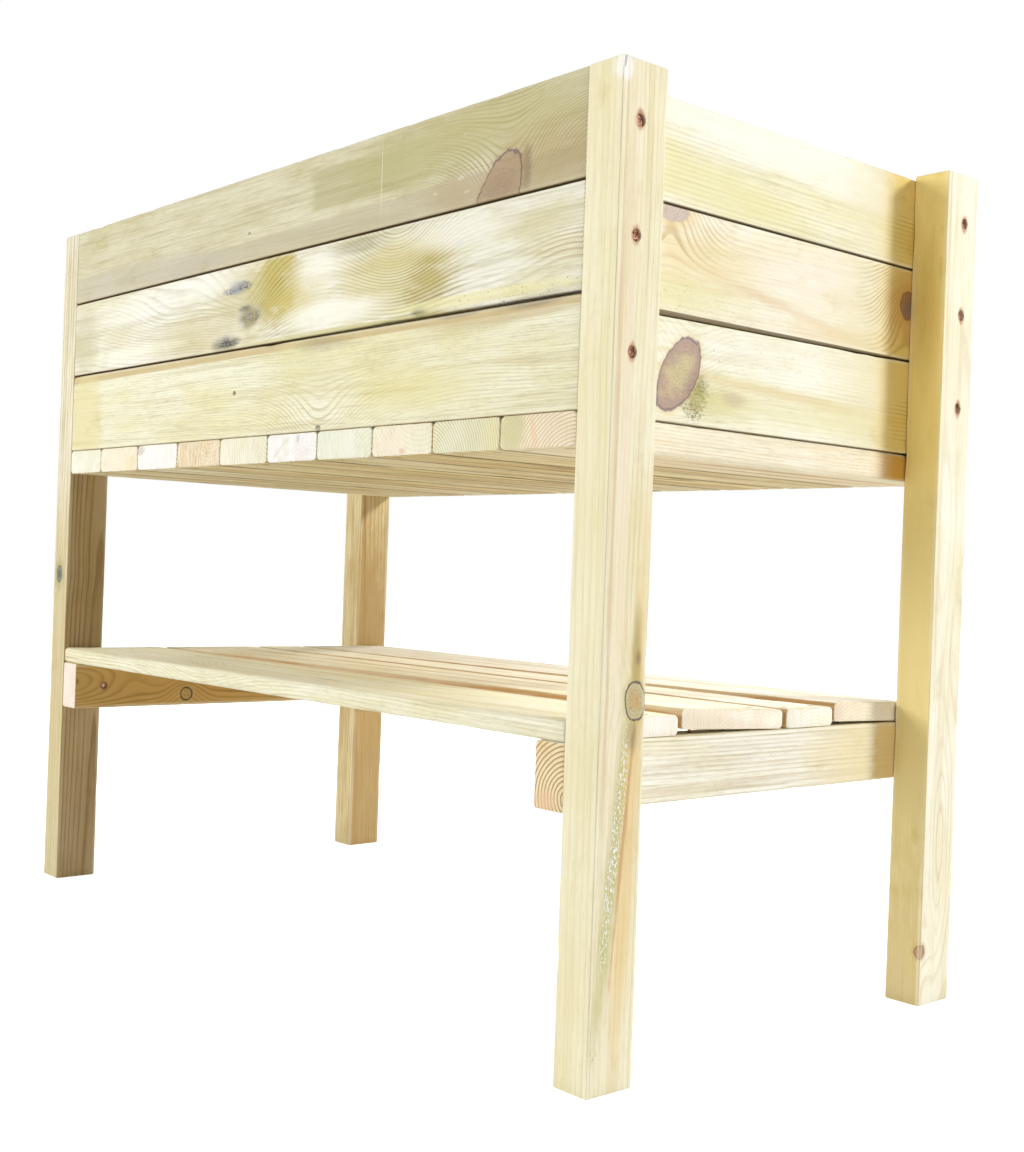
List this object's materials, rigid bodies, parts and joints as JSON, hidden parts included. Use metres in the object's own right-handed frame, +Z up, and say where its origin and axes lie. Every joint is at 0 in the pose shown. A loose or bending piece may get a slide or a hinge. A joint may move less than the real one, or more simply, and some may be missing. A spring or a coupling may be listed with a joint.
{
  "type": "raised planter on legs",
  "caption": "Wooden raised planter: an open plank box on four rectangular corner posts, with a slatted bottom and a low slatted shelf on two bearers.",
  "frame": {"origin": "middle of the footprint of the four legs, on the ground", "axes": "+X along the long side to the right, +Y from the front to the back, +Z up"},
  "size_m": [0.986, 0.49, 0.8],
  "materials": {
    "post_wood": "planed pressure-treated pine, matt, pale ochre",
    "plank_wood": "planed pressure-treated pine, matt, pale yellow-green",
    "bottom_wood": "planed pressure-treated pine, matt, cream",
    "bearer_wood": "planed pressure-treated pine, matt, warm cream",
    "shelf_wood": "planed pressure-treated pine, matt, cream",
    "screw_steel": "brown corrosion-protected steel"
  },
  "bodies": {
    "root": {"post_front_left": "post_wood", "post_front_right": "post_wood", "post_back_left": "post_wood", "post_back_right": "post_wood", "front_plank_bottom": "plank_wood", "front_plank_middle": "plank_wood", "front_plank_top": "plank_wood", "back_plank_bottom": "plank_wood", "back_plank_middle": "plank_wood", "back_plank_top": "plank_wood", "left_plank_bottom": "plank_wood", "left_plank_middle": "plank_wood", "left_plank_top": "plank_wood", "right_plank_bottom": "plank_wood", "right_plank_middle": "plank_wood", "right_plank_top": "plank_wood", "bottom_board_1": "bottom_wood", "bottom_board_2": "bottom_wood", "bottom_board_3": "bottom_wood", "bottom_board_4": "bottom_wood", "bottom_board_5": "bottom_wood", "bottom_board_6": "bottom_wood", "bottom_board_7": "bottom_wood", "bottom_board_8": "bottom_wood", "bottom_board_9": "bottom_wood", "bottom_board_10": "bottom_wood", "bearer_left": "bearer_wood", "bearer_right": "bearer_wood", "shelf_board_1": "shelf_wood", "shelf_board_2": "shelf_wood", "shelf_board_3": "shelf_wood", "shelf_board_4": "shelf_wood", "post_screws": "screw_steel", "end_screws": "screw_steel", "bottom_screws": "screw_steel", "bearer_screws": "screw_steel", "shelf_screws": "screw_steel"}
  },
  "joints": []
}
